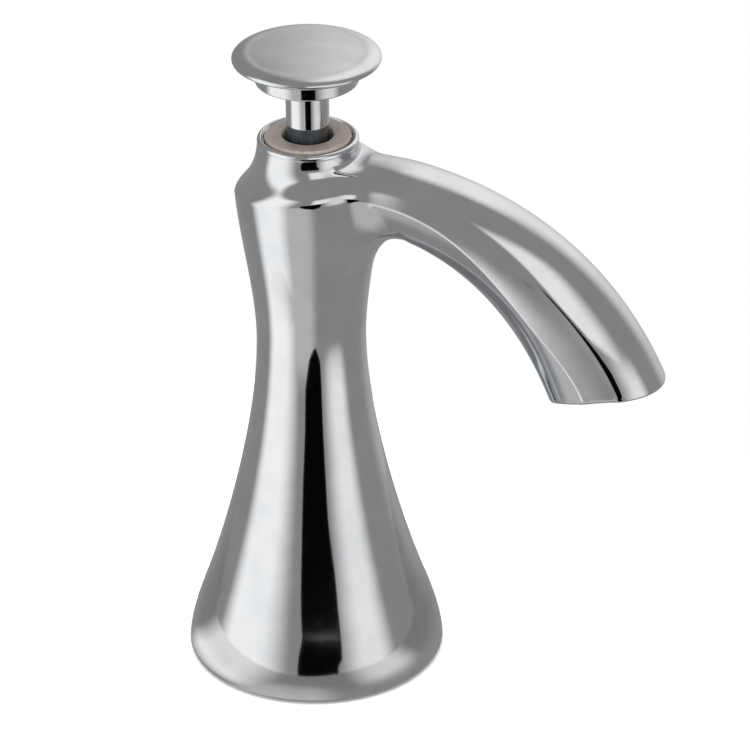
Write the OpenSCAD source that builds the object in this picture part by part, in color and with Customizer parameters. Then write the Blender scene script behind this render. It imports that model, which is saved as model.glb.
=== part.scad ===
// Deck-mounted soap pump dispenser with a fixed spout and a separate push button.
// Millimetres. The origin is on the pump's axis in the plane of the counter top,
// +Z points up and +X points out along the spout.

/* [Column] */
// Height of the neck's rim above the counter
rim_z = 126.2; // [106:0.1:152]
// From the rim down to the crease that runs on into the spout
shoulder_drop = 13.2; // [11:0.1:16]
// Height of the waist above the counter
waist_z = 78; // [64:1:84]
// Greatest radius of the foot
foot_r = 28.6; // [26:0.1:34]
// Radius of the rounded edge at the bottom of the foot
foot_edge = 1.5; // [0.8:0.1:2]
// Height at which the foot's outward curve turns inward
flare_z = 17; // [14:0.5:20]
// Radius at that height
flare_r = 24.4; // [23:0.1:25.5]
// Radius at the waist
waist_r = 12; // [11.8:0.1:14.4]
// Radius at the crease
crease_r = 16.05; // [15:0.05:18]
// Radius of the neck under the rim
neck_r = 10.95; // [10.9:0.05:12.5]
// Wall of the casting
wall = 2.3; // [1.8:0.1:2.6]

/* [Spout] */
// Distance from the pump's axis to the crease at the lip
spout_reach = 64.8; // [54:0.1:78]
// From the rim down to the crease at the lip
lip_drop = 50; // [44:0.5:60]
// From the rim down to where the crease line leaves the pump's axis
root_drop = 13.7; // [12.7:0.1:14.7]
// Half of the spout's width at the root
root_half_w = 9.2; // [8.5:0.1:10]
// Half of the spout's width at the lip
lip_half_w = 10.8; // [10:0.1:13]
// Slant of the lip from square, in degrees
lip_slant = 11; // [0:1:14]
// From the rim down to the outlet port
port_drop = 16; // [15.5:0.1:16.4]
// Rise of the port towards the spout, in degrees
port_tilt = 20; // [15:1:25]

/* [Push button] */
// Radius of the button
cap_r = 16; // [13:0.1:20]
// Thickness of the button at its middle
cap_t = 3.1; // [2.6:0.1:4]
// Radius of the disc under the button
disc_r = 11.15; // [9.5:0.05:13.5]
// Thickness of the disc
disc_t = 4.2; // [3.5:0.1:5.5]
// Gap between the disc and the neck's rim at rest
lift_gap = 13; // [11:0.1:16]
// Travel of the plunger
stroke = 12; // [10:0.5:14.4]
// Radius of the bright sleeve under the disc
sleeve_r = 4.65; // [4.4:0.05:4.9]
// Length of the sleeve below the disc
sleeve_len = 10; // [8:0.5:11.5]

/* [Pump cartridge] */
// Radius of the stem
stem_r = 4.45; // [3.8:0.05:4.45]
// Radius of the collar's flange
collar_r = 9.37; // [9.3:0.01:9.4]
// Height of the collar's face above the neck's rim
collar_proud = 0.4; // [0:0.1:0.8]
// Radius of the bore in the neck that takes the barrel
seat_r = 8.9; // [8.7:0.05:8.95]
// Radius of the barrel's own bore
bore_r = 6.2; // [6:0.05:6.4]
// Radius of the barrel below its head
barrel_r = 7.8; // [7.4:0.1:8]
// Length of the barrel's bore below the collar
barrel_depth = 67; // [62:1:76]
// Radius of the inlet ball
inlet_ball_r = 2.4; // [2.2:0.1:2.6]
// Radius of the outlet ball
outlet_ball_r = 2.2; // [2:0.05:2.3]
// Rise of each ball from its seat
ball_rise = 1.6; // [1:0.1:2]
// Radius of the return spring's wire
spring_wire = 0.45; // [0.35:0.05:0.5]
// Number of coils of the spring
spring_coils = 8; // [6:1:10]

/* [Under the counter] */
// Thickness of the counter that the shank passes through
deck_t = 30; // [20:1:36]
// Radius of the shank
shank_r = 12.4; // [11.5:0.1:13]
// Radius of the passage in the shank
shank_bore_r = 9.6; // [9.2:0.1:9.8]
// Length of the shank below the counter top
shank_len = 64; // [60:1:80]
// Radius of the bottle
bottle_r = 37; // [31:0.5:45]
// Height of the bottle below its neck
bottle_h = 124; // [100:1:150]
// Wall of the bottle
bottle_wall = 1.5; // [1.2:0.1:2]
// Radius of the dip tube
dip_r = 3.5; // [3.2:0.1:4]

/* [Hidden] */
$fn = 96;

run_gap = 0.05;             // radial clearance where one piece slides in another
press_gap = 0.02;           // radial clearance where one piece is pushed into another
over = 1;                   // how far a cut runs past the face that it opens

chrome = [0.80, 0.81, 0.83];
white_plastic = [0.92, 0.92, 0.90];
dark_plastic = [0.22, 0.23, 0.24];
rubber = [0.13, 0.13, 0.14];
steel = [0.70, 0.71, 0.73];
brass = [0.78, 0.64, 0.36];

// Column
crease_z = rim_z - shoulder_drop;
lip_z = rim_z - lip_drop;
spout_root_z = rim_z - root_drop;
rim_r = neck_r + 0.2;
rim_round = 0.7;

// Base
shank_thread_z = 12;                    // depth of the thread in the foot
boss_wall = 4;
gasket_t = 1.6;
gasket_out = foot_r - 2.4;
gasket_in = shank_r + boss_wall;
pocket_top = shank_thread_z - wall;

// Pump, from the top down
ledge_z = rim_z - 3.1;                  // the collar's flange rests here
collar_top = rim_z + collar_proud;
collar_gap = 0.33;                      // shadow gap round the flange
sleeve_low_z = rim_z + lift_gap - sleeve_len;
guide_top = sleeve_low_z - stroke - 0.5;
guide_low = guide_top - 2.8;
wiper_t = 2;
wiper_z = guide_low - wiper_t;
wiper_r = stem_r + 1.15;
spigot_z = wiper_z - 0.2;
port_z = rim_z - port_drop;
port_r = 2.2;
ring_wire = 0.9;                        // section radius of the barrel's O-rings
ring_r = seat_r - run_gap - ring_wire;
groove_r = ring_r - ring_wire;
groove_half = ring_wire + 0.15;
ring_off = port_r + 2.6;                // each O-ring's distance from the port
head_r = seat_r - 0.2;
head_low = port_z - ring_off - 3;
barrel_floor = ledge_z - barrel_depth;
floor_t = 2;
cage_r = inlet_ball_r + 0.5;            // chamber that the inlet ball moves in
cage_wall = 1.7;
seat_hole = 1.6;
inlet_rest = sqrt(pow(inlet_ball_r, 2) - pow(seat_hole, 2));
inlet_seat_z = barrel_floor - floor_t - ball_rise - inlet_rest - inlet_ball_r - 0.02;
neck_low = inlet_seat_z - 4;            // lower end of the barrel's neck
seat_low = neck_low - 8;
spigot_r = dip_r - 1;

// Plunger
disc_z = rim_z + lift_gap;
cap_z = disc_z + disc_t;
cap_edge = 0.9;                         // height of the button's widest circle above its underside
cap_flat_r = cap_r - 3.1;
cap_dome = 0.3;
tongue_r = 7;                           // boss on the disc that the button snaps over
tongue_h = 1.2;
pin_r = stem_r - 0.85;                  // upper part of the rod, inside the sleeve and the disc
piston_top = port_z - 6.5;
seal_z = piston_top - 9;
seal_h = 4;
seal_in = stem_r + 0.15;
flange_t = 1.5;
piston_z = seal_z - 2;
piston_r = bore_r - 0.1;
seal_r = bore_r - run_gap;
chamber_r = outlet_ball_r + 0.4;
outlet_hole = 1.5;
outlet_rest = sqrt(pow(outlet_ball_r, 2) - pow(outlet_hole, 2));
outlet_seat_z = seal_z + 2;
outlet_ball_z = outlet_seat_z + outlet_rest + 0.02;
plug_z = outlet_ball_z + outlet_ball_r + ball_rise;
window_r = 1.1;

// Store
nut_h = 12;
nut_r = 18;
washer_t = 2;
washer_r = 23;
thread_gap = 0.1;
bottle_neck_h = 15;
seal_t = 1.2;
bottle_neck_r = shank_r + thread_gap + 2.2;
ledge_bottle_z = -shank_len - seal_t;
bottle_top = ledge_bottle_z - 1.6;
bottle_z = bottle_top - bottle_h;
bottle_shoulder = 14;
bottle_round = 6;
dip_z = bottle_z + bottle_wall + 4;

// Point of a cubic curve through four control points
function cubic(p, t) = pow(1 - t, 3) * p[0] + 3 * pow(1 - t, 2) * t * p[1]
    + 3 * (1 - t) * t * t * p[2] + pow(t, 3) * p[3];
// Direction of that curve
function cubic_dir(p, t) = let (d = pow(1 - t, 2) * (p[1] - p[0]) + 2 * (1 - t) * t * (p[2] - p[1])
    + t * t * (p[3] - p[2])) d / norm(d);
// A run of points on it, without its first
function run_of(p, n) = [for (i = [1:n]) cubic(p, i / n)];
// Value that goes through a, b and c at 0, 0.5 and 1
function through(a, b, c, t) = a * (1 - t) * (1 - 2 * t) + 4 * b * t * (1 - t) + c * t * (2 * t - 1);

// Outline of the column, radius and height, from the foot to the rim
foot_top = [foot_r, foot_edge + 0.1];
foot_curve = [foot_top, [foot_r - 0.3, foot_edge + 5], [flare_r + 1.65, flare_z - 4.5], [flare_r, flare_z]];
rise_curve = [[flare_r, flare_z], [flare_r - 5.8, flare_z + 16.5], [waist_r, waist_z - 18], [waist_r, waist_z]];
crown = crease_z - waist_z;
crown_curve = [[waist_r, waist_z], [waist_r, waist_z + 0.34 * crown],
    [crease_r - 0.65, crease_z - 0.29 * crown], [crease_r, crease_z]];
neck_curve = [[crease_r, crease_z], [crease_r - 0.45, crease_z + 2.4],
    [neck_r + 0.55, crease_z + 3.6], [neck_r, rim_z - rim_round - 0.6]];
column_line = concat([foot_top], run_of(foot_curve, 6), run_of(rise_curve, 14), run_of(crown_curve, 9));
neck_line = run_of(neck_curve, 12);
foot_arc = [for (a = [0:15:75]) [foot_r - foot_edge + foot_edge * sin(a), foot_edge - foot_edge * cos(a)]];
rim_arc = [for (a = [0:18:90]) [rim_r - rim_round + rim_round * cos(a), rim_z - rim_round + rim_round * sin(a)]];

// The line that the spout follows is the crease on its two sides: [x, z]
spout_line = [[0, spout_root_z], [0.415 * spout_reach, spout_root_z + 5.2],
    [spout_reach - 11.3, lip_z + 25], [spout_reach, lip_z]];
function spout_at(t) = cubic(spout_line, t);
function spout_dir(t) = cubic_dir(spout_line, t);
function spout_up(t) = let (d = spout_dir(t)) [-d[1], d[0]];
function half_w(t) = root_half_w + (lip_half_w - root_half_w) * t;
function above(t) = through(6.8, 12.1, lip_half_w + 4.2, t);
function below(t) = through(6.2, 7.1, lip_half_w - 0.5, t);
// How far the upper side runs ahead of the crease, per millimetre of height, for the slanted lip
function lean(t) = tan(lip_slant) * pow(max(0, (t - 0.65) / 0.35), 2);
// Arc over a chord of half length w with the height h, at s from -1 to 1: [across, up]
function arc_at(w, h, s) = let (a = 2 * atan(h / w), r = w / sin(a)) [r * sin(a * s), r * cos(a * s) - r + h];
// Section of the spout at t, drawn in by e: [across, up], the upper arc and then the lower
function section(t, e, n) = concat(
    [for (i = [0:n - 1]) arc_at(half_w(t) - e, above(t) - e, 1 - 2 * i / n)],
    [for (i = [0:n - 1]) let (p = arc_at(half_w(t) - e, below(t) - e, -1 + 2 * i / n)) [p[0], -p[1]]]);
// That section in space, moved on by the distance ahead
function ring_at(t, e, n, ahead = 0) = let (c = spout_at(t), d = spout_dir(t), u = spout_up(t), k = lean(t))
    [for (p = section(t, e, n)) let (q = c + u * p[1] + d * (k * p[1] + ahead)) [q[0], p[0], q[1]]];
// Middle of the spout's passage at t: [x, z]
function middle(t) = spout_at(t) + spout_up(t) * (above(t) - below(t)) / 2;

// Skin over a list of rings, each with n points, closed at both ends
module skin(rings) {
    n = len(rings[0]);
    m = len(rings);
    polyhedron([for (r = rings) for (p = r) p], concat(
        [[for (i = [0:n - 1]) i]],
        [for (j = [0:m - 2]) for (i = [0:n - 1]) let (k = (i + 1) % n) each [
            [j * n + i, (j + 1) * n + i, (j + 1) * n + k], [j * n + i, (j + 1) * n + k, j * n + k]]],
        [[for (i = [n - 1:-1:0]) (m - 1) * n + i]]));
}
// A round tube's outside along a plane curve of [x, z] control points
module rod_along(line, r, steps, n) {
    skin([for (j = [0:steps]) let (c = cubic(line, j / steps), d = cubic_dir(line, j / steps))
        [for (i = [0:n - 1]) let (a = -360 * i / n)
            [c[0] - d[1] * r * cos(a), r * sin(a), c[1] + d[0] * r * cos(a)]]]);
}
// A ring of rectangular section
module ring(out_r, in_r, z, h) {
    translate([0, 0, z]) difference() {
        cylinder(r = out_r, h = h);
        translate([0, 0, -over]) cylinder(r = in_r, h = h + 2 * over);
    }
}
module o_ring(r, wire, z) {
    translate([0, 0, z]) rotate_extrude() translate([r, 0]) circle(r = wire, $fn = 32);
}
module place_at_lip(t, back) {
    c = middle(t);
    d = spout_dir(t);
    translate([c[0] - d[0] * back, 0, c[1] - d[1] * back]) rotate([0, atan2(d[0], d[1]), 0]) children();
}

passage_from = 12.3 / spout_reach;      // where the spout's passage starts, along the spout's line
plate_from = 0.925;         // where the nozzle plate lies in the passage
plate_to = 0.955;
port_way = [cos(port_tilt), sin(port_tilt)];
fitting_in = 1.2;           // along the port, from the wall of the barrel's seat
fitting_mid = 6.6;
tube_from = 8;
tail = 2;
tube_r = 2.5;
tube_bore_r = 1.55;
tube_start = [seat_r, port_z] + port_way * tube_from;
tube_end = middle(plate_from) - spout_dir(plate_from) * 1.2;
tube_line = [tube_start, tube_start + port_way * 20, tube_end - spout_dir(plate_from) * 17, tube_end];

// Places children on the port's axis, which leaves the barrel's seat and rises into the spout
module along_port() {
    translate([seat_r, 0, port_z]) rotate([0, 90 - port_tilt, 0]) children();
}

module column_solid() {
    rotate_extrude() polygon(concat([[0, 0]], foot_arc, column_line, neck_line, rim_arc, [[0, rim_z]]));
}
// Hollow of the column below the seat of the barrel
module column_hollow() {
    top = head_low - 2;
    inner = [for (p = column_line) if (p[1] > shank_thread_z + 0.5 && p[1] < top) [p[0] - wall, p[1]]];
    rotate_extrude() polygon(concat([[0, shank_thread_z - over], [shank_r + run_gap, shank_thread_z - over],
        [shank_r + run_gap, shank_thread_z], [flare_r - 1, shank_thread_z]], inner,
        [[max(seat_r, inner[len(inner) - 1][0]), top], [seat_r, top + 1], [0, top + 1]]));
}
module spout_body() {
    color(chrome) difference() {
        union() {
            column_solid();
            skin([for (j = [3:32]) ring_at(j / 32, 0, 14)]);
        }
        column_hollow();
        translate([0, 0, head_low - 2]) cylinder(r = seat_r, h = rim_z);
        translate([0, 0, ledge_z]) cylinder(r = collar_r + collar_gap, h = rim_z);
        translate([0, 0, -over]) cylinder(r = shank_r + run_gap, h = shank_thread_z + 2 * over);
        translate([0, 0, -over]) ring(gasket_out + 0.1, gasket_in - 0.1, 0, gasket_t + over);
        ring(gasket_out - 2.5, gasket_in, 0, pocket_top);
        along_port() translate([0, 0, -2 * over]) cylinder(r = port_r, h = tube_from + 2 * over);
        skin(concat([for (j = [0:18]) ring_at(passage_from + (1 - passage_from) * j / 18, wall, 9)],
            [ring_at(1, wall, 9, 2 * over)]));
    }
}
module base_gasket() {
    color(rubber) ring(gasket_out, gasket_in, 0, gasket_t);
}
module mounting_shank() {
    color(brass) ring(shank_r, shank_bore_r, -shank_len, shank_len + shank_thread_z - 0.3);
}
module deck_washer() {
    color(rubber) ring(washer_r, shank_r + 0.3, -deck_t - washer_t, washer_t);
}
module mounting_nut() {
    color(white_plastic) difference() {
        translate([0, 0, -deck_t - washer_t - nut_h]) union() {
            cylinder(r = nut_r, h = nut_h);
            cylinder(r = washer_r - 1, h = 2.5);
            for (a = [0:90:270]) rotate([0, 0, a]) translate([nut_r - 1, -2, 0]) cube([9, 4, nut_h - 1]);
        }
        translate([0, 0, -deck_t - washer_t - nut_h - over])
            cylinder(r = shank_r + run_gap, h = nut_h + 2 * over);
    }
}
// Outline of half of the bottle, drawn in by e from its outside
function bottle_line(e) = let (r = bottle_r - e, c = bottle_round - e, s = bottle_top - bottle_shoulder)
    concat([for (a = [0:15:90]) [r - c + c * sin(a), bottle_z + e + c - c * cos(a)]],
        run_of([[r, s], [r, s + 0.6 * bottle_shoulder], [bottle_neck_r + 7 - e, bottle_top - e],
            [bottle_neck_r - 2 * e, bottle_top - e]], 10));
module soap_bottle() {
    mouth_r = shank_bore_r + 0.6;
    color([0.93, 0.94, 0.93, 0.55]) difference() {
        rotate_extrude() polygon(concat([[0, bottle_z]], bottle_line(0), [[bottle_neck_r, bottle_top],
            [bottle_neck_r, ledge_bottle_z + bottle_neck_h], [0, ledge_bottle_z + bottle_neck_h]]));
        rotate_extrude() polygon(concat([[0, bottle_z + bottle_wall]], bottle_line(bottle_wall),
            [[mouth_r, bottle_top - bottle_wall], [mouth_r, ledge_bottle_z + over], [0, ledge_bottle_z + over]]));
        translate([0, 0, ledge_bottle_z]) cylinder(r = shank_r + thread_gap, h = bottle_neck_h + over);
    }
}
module bottle_seal() {
    color(rubber) ring(shank_r, shank_bore_r + 0.6, ledge_bottle_z, seal_t);
}
module outlet_fitting() {
    color(white_plastic) along_port() difference() {
        union() {
            translate([0, 0, fitting_in]) cylinder(r = port_r - press_gap, h = fitting_mid - fitting_in);
            translate([0, 0, fitting_mid - over])
                cylinder(r = tube_bore_r - 0.25, h = tube_from + tail - fitting_mid + over);
        }
        cylinder(r = 0.8, h = tube_from + tail + over);
    }
}
module spout_tube() {
    color([0.90, 0.92, 0.92, 0.7]) difference() {
        rod_along(tube_line, tube_r, 20, 12);
        rod_along([tube_line[0] - port_way * over, tube_line[1], tube_line[2],
            tube_line[3] + spout_dir(plate_from) * over], tube_bore_r, 20, 12);
    }
}
module spout_nozzle() {
    color(dark_plastic) difference() {
        union() {
            skin([for (j = [0:1]) ring_at(plate_from + (plate_to - plate_from) * j, wall + 0.06, 9)]);
            place_at_lip(plate_to, 0) cylinder(r = 4, h = 3.2, center = true);
        }
        place_at_lip(plate_to, 0) cylinder(r = 1.6, h = 12, center = true);
    }
}
module pump_collar() {
    face = collar_top;
    color([0.66, 0.61, 0.57]) difference() {
        union() {
            translate([0, 0, ledge_z]) cylinder(r = collar_r, h = face - ledge_z - 0.3);
            translate([0, 0, face - 0.3]) cylinder(r1 = collar_r, r2 = collar_r - 0.3, h = 0.3);
            translate([0, 0, spigot_z]) cylinder(r = bore_r - press_gap, h = ledge_z - spigot_z);
        }
        translate([0, 0, guide_top]) cylinder(r = sleeve_r + 0.8, h = face);
        translate([0, 0, spigot_z - over]) cylinder(r = stem_r + run_gap, h = rim_z);
        translate([0, 0, spigot_z - over]) cylinder(r = wiper_r, h = guide_low - spigot_z + over);
    }
}
module rod_wiper() {
    color(rubber) ring(wiper_r, stem_r + run_gap, wiper_z, wiper_t);
}
module pump_barrel() {
    color(white_plastic) difference() {
        union() {
            translate([0, 0, head_low]) cylinder(r = head_r, h = ledge_z - head_low);
            translate([0, 0, barrel_floor - floor_t]) cylinder(r = barrel_r, h = ledge_z - barrel_floor);
            translate([0, 0, neck_low]) cylinder(r = cage_r + cage_wall, h = barrel_floor - neck_low);
        }
        translate([0, 0, barrel_floor]) cylinder(r = bore_r, h = barrel_depth + over);
        for (s = [-1, 1]) ring(head_r + over, groove_r, port_z + s * ring_off - groove_half, 2 * groove_half);
        ring(head_r + over, head_r - 0.8, port_z - 1.6, 3.2);
        for (a = [0:90:270]) rotate([0, 0, a]) translate([0, 0, port_z]) rotate([0, 90, 0])
            cylinder(r = 1.2, h = head_r + over);
        translate([0, 0, neck_low - over]) cylinder(r = cage_r, h = barrel_floor - floor_t - neck_low + over);
        translate([0, 0, barrel_floor - floor_t - over]) cylinder(r = 0.9, h = floor_t + 2 * over);
        for (a = [45:90:315]) rotate([0, 0, a]) translate([cage_r - 0.9, 0, barrel_floor - floor_t - over])
            cylinder(r = 0.8, h = floor_t + 2 * over);
    }
}
module upper_o_ring() {
    color(rubber) o_ring(ring_r, ring_wire, port_z + ring_off);
}
module lower_o_ring() {
    color(rubber) o_ring(ring_r, ring_wire, port_z - ring_off);
}
// Coil spring between the floor of the barrel and the piston
module return_spring() {
    per_coil = 14;
    low = barrel_floor + spring_wire + 0.05;
    high = piston_z - spring_wire - 0.05;
    mean_r = bore_r - 1.1;
    steps = spring_coils * per_coil;
    color(steel) skin([for (j = [0:steps]) let (a = 360 * j / per_coil, c = j / steps,
            turn = min(1, max(0, (c * spring_coils - 1) / (spring_coils - 2))))
        [for (i = [0:5]) let (b = -60 * i, r = mean_r + spring_wire * cos(b))
            [r * cos(a), r * sin(a), low + spring_wire * 2 * min(1, c * spring_coils)
                + (high - low - spring_wire * 4) * turn
                + spring_wire * 2 * min(1, max(0, c * spring_coils - spring_coils + 1))
                + spring_wire * sin(b)]]]);
}
module inlet_valve_seat() {
    color(white_plastic) difference() {
        union() {
            translate([0, 0, neck_low]) cylinder(r = cage_r - press_gap, h = inlet_seat_z - neck_low);
            translate([0, 0, neck_low - 1]) cylinder(r = cage_r + cage_wall, h = 1);
            translate([0, 0, seat_low]) cylinder(r = spigot_r, h = neck_low - seat_low);
        }
        translate([0, 0, seat_low - over]) cylinder(r = seat_hole, h = rim_z);
    }
}
module dip_tube() {
    top = neck_low - 1.2;
    color([0.90, 0.92, 0.92, 0.7]) difference() {
        translate([0, 0, dip_z]) cylinder(r = dip_r, h = top - dip_z);
        translate([0, 0, dip_z - over]) cylinder(r = spigot_r + press_gap, h = top - dip_z + 2 * over);
        translate([-2 * dip_r, 0, dip_z]) rotate([0, -35, 0]) translate([-dip_r, -2 * dip_r, -6 * dip_r])
            cube([6 * dip_r, 4 * dip_r, 6 * dip_r]);
    }
}
module inlet_ball() {
    color(steel) translate([0, 0, inlet_seat_z + inlet_rest + 0.02]) sphere(r = inlet_ball_r);
}
module push_cap() {
    edge_z = cap_z + cap_edge;
    top_z = cap_z + cap_t;
    flat_z = top_z - cap_dome;
    color(chrome) difference() {
        rotate_extrude() polygon(concat([[0, cap_z]], [[cap_r - 2, cap_z], [cap_r - 0.6, cap_z + 0.1],
            [cap_r - 0.15, cap_z + 0.35]],
            [for (a = [0:15:90]) [cap_flat_r + (cap_r - cap_flat_r) * cos(a), edge_z + (flat_z - edge_z) * sin(a)]],
            [for (k = [0.75, 0.5, 0.25, 0]) [cap_flat_r * k, top_z - cap_dome * k * k]]));
        translate([0, 0, cap_z - over]) cylinder(r = tongue_r + press_gap, h = tongue_h + 0.1 + over);
    }
}
module cap_base_disc() {
    color(chrome) difference() {
        union() {
            translate([0, 0, disc_z]) cylinder(r1 = disc_r - 0.3, r2 = disc_r, h = 0.3);
            translate([0, 0, disc_z + 0.3]) cylinder(r = disc_r, h = disc_t - 0.3);
            translate([0, 0, disc_z]) cylinder(r = tongue_r, h = disc_t + tongue_h);
        }
        translate([0, 0, disc_z - over]) cylinder(r = pin_r + press_gap, h = disc_t + over);
    }
}
module stem_sleeve() {
    color(chrome) ring(sleeve_r, pin_r + press_gap, sleeve_low_z, sleeve_len);
}
module piston_rod() {
    color(dark_plastic) union() {
        translate([0, 0, piston_top]) cylinder(r = stem_r, h = sleeve_low_z - piston_top);
        translate([0, 0, sleeve_low_z - over]) cylinder(r = pin_r, h = disc_z + disc_t - sleeve_low_z);
        translate([0, 0, plug_z]) cylinder(r = chamber_r - press_gap, h = piston_top - plug_z + over);
    }
}
module piston_head() {
    color(white_plastic) difference() {
        union() {
            translate([0, 0, piston_z]) cylinder(r = piston_r, h = seal_z - piston_z);
            translate([0, 0, seal_z - over]) cylinder(r = seal_in, h = seal_h + 2 * over);
            translate([0, 0, seal_z + seal_h]) cylinder(r = piston_r, h = flange_t);
            translate([0, 0, seal_z + seal_h]) cylinder(r = stem_r - 0.05, h = piston_top - seal_z - seal_h);
        }
        translate([0, 0, outlet_seat_z]) cylinder(r = chamber_r, h = piston_top);
        translate([0, 0, piston_z - over]) cylinder(r = outlet_hole, h = piston_top - piston_z);
        for (a = [0, 90]) rotate([0, 0, a]) translate([-bore_r, 0, seal_z + seal_h + flange_t + window_r + 0.1])
            rotate([0, 90, 0]) cylinder(r = window_r, h = 2 * bore_r);
    }
}
module piston_seal() {
    color(rubber) ring(seal_r, seal_in + press_gap, seal_z, seal_h);
}
module outlet_ball() {
    color(steel) translate([0, 0, outlet_ball_z]) sphere(r = outlet_ball_r);
}

spout_body();
base_gasket();
mounting_shank();
deck_washer();
mounting_nut();
soap_bottle();
bottle_seal();
outlet_fitting();
spout_tube();
spout_nozzle();
pump_collar();
rod_wiper();
pump_barrel();
upper_o_ring();
lower_o_ring();
return_spring();
inlet_valve_seat();
dip_tube();
inlet_ball();
push_cap();
cap_base_disc();
stem_sleeve();
piston_rod();
piston_head();
piston_seal();
outlet_ball();
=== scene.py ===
# Deck-mounted soap pump dispenser: looks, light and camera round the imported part.
import math

import bmesh
import bpy
import numpy as np
from mathutils import Matrix, Vector


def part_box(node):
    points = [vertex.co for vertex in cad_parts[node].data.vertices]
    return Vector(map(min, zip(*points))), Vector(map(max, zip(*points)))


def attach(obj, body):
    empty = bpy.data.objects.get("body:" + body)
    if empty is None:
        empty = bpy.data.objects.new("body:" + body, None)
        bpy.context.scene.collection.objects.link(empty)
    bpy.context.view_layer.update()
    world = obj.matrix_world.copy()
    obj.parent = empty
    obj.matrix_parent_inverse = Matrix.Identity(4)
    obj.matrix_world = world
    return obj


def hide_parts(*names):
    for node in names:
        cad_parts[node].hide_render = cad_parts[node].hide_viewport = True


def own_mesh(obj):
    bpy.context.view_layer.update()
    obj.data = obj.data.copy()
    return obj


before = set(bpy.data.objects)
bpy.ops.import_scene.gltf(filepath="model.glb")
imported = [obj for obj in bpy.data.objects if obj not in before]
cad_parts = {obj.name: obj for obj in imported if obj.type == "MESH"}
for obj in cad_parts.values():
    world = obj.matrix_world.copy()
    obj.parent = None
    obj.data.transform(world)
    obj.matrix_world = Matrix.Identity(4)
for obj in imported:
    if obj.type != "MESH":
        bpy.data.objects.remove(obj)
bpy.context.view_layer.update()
scene = bpy.context.scene
scene.view_settings.view_transform = "Standard"
mm = 0.001
print("frame loaded,", len(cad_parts), "nodes")


def toLinear(hexColour):
    parts = [int(hexColour[i:i + 2], 16) / 255 for i in (1, 3, 5)]
    return tuple(c / 12.92 if c <= 0.04045 else ((c + 0.055) / 1.055) ** 2.4 for c in parts) + (1.0,)


def addNode(tree, kind, settings={}, values={}, links={}):
    node = tree.nodes.new(kind)
    for name, value in settings.items():
        setattr(node, name, value)
    for name, value in values.items():
        node.inputs[name].default_value = value
    for name, source in links.items():
        tree.links.new(source, node.inputs[name])
    return node


# A material starts with its shader's uniform values; draw adds what varies and returns nothing.
def makeMaterial(name, shader, draw):
    material = bpy.data.materials.new(name)
    material.use_nodes = True
    tree = material.node_tree
    tree.nodes.clear()
    surface = addNode(tree, "ShaderNodeBsdfPrincipled", values=shader)
    addNode(tree, "ShaderNodeOutputMaterial", links={"Surface": surface.outputs["BSDF"]})
    place = addNode(tree, "ShaderNodeTexCoord").outputs["Object"]
    draw(tree, surface, place)
    return material


# Colour between two hex values by a noise whose grain is given in millimetres.
def mottle(tree, surface, place, low, high, grain, detail=3.0, stretch=(1, 1, 1)):
    mapped = addNode(tree, "ShaderNodeMapping", values={"Scale": stretch}, links={"Vector": place})
    noise = addNode(tree, "ShaderNodeTexNoise", values={"Scale": 1 / (grain * mm), "Detail": detail},
                    links={"Vector": mapped.outputs["Vector"]})
    ramp = addNode(tree, "ShaderNodeValToRGB", links={"Fac": noise.outputs["Fac"]})
    ramp.color_ramp.elements[0].position, ramp.color_ramp.elements[1].position = 0.32, 0.68
    ramp.color_ramp.elements[0].color, ramp.color_ramp.elements[1].color = toLinear(low), toLinear(high)
    tree.links.new(ramp.outputs["Color"], surface.inputs["Base Color"])
    return noise.outputs["Fac"]


# Roughness from low to high, and a bump of the given depth in millimetres, both by a noise.
def graze(tree, surface, place, low, high, grain, depth, stretch=(1, 1, 1)):
    mapped = addNode(tree, "ShaderNodeMapping", values={"Scale": stretch}, links={"Vector": place})
    noise = addNode(tree, "ShaderNodeTexNoise", values={"Scale": 1 / (grain * mm), "Detail": 4.0},
                    links={"Vector": mapped.outputs["Vector"]})
    rough = addNode(tree, "ShaderNodeMapRange", values={"To Min": low, "To Max": high},
                    links={"Value": noise.outputs["Fac"]})
    tree.links.new(rough.outputs["Result"], surface.inputs["Roughness"])
    if depth > 0:
        bump = addNode(tree, "ShaderNodeBump", values={"Strength": 1.0, "Distance": depth * mm},
                       links={"Height": noise.outputs["Fac"]})
        tree.links.new(bump.outputs["Normal"], surface.inputs["Normal"])


# Chromium plate over a buffed zinc casting: mirror bright, with the faint cloudiness that buffing leaves.
def drawCastChrome(tree, surface, place):
    mottle(tree, surface, place, "#cfd1d3", "#d9dadc", 9.0)
    graze(tree, surface, place, 0.05, 0.09, 2.2, 0.0)


# Chromium plate over turned brass: the same mirror, with rings of the lathe just showing in its gloss.
def drawTurnedChrome(tree, surface, place):
    mottle(tree, surface, place, "#cdcfd1", "#dadbdd", 7.0)
    graze(tree, surface, place, 0.045, 0.08, 1.6, 0.0, (1, 1, 4))


# Moulded acetal, warm grey: an even satin with a very fine spark-eroded grain.
def drawCollarPlastic(tree, surface, place):
    mottle(tree, surface, place, "#9a9089", "#a79d96", 1.4)
    graze(tree, surface, place, 0.38, 0.5, 0.22, 0.004)


# Extruded dark acetal rod, ground to size: smooth, with faint streaks along it.
def drawStemPlastic(tree, surface, place):
    mottle(tree, surface, place, "#2c3032", "#3d4245", 0.9, stretch=(1, 1, 0.15))
    graze(tree, surface, place, 0.22, 0.34, 0.35, 0.0005, (1, 1, 0.1))


# Moulded black ABS: soft gloss, with the grain of the tool.
def drawNozzlePlastic(tree, surface, place):
    mottle(tree, surface, place, "#26282a", "#303335", 0.8)
    graze(tree, surface, place, 0.3, 0.42, 0.3, 0.004)


# Moulded natural polypropylene: milky, a little waxy, with slow clouds where it cooled unevenly.
def drawPumpPlastic(tree, surface, place):
    mottle(tree, surface, place, "#dcdedb", "#eceeea", 5.0)
    graze(tree, surface, place, 0.3, 0.42, 0.5, 0.003)


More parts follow.
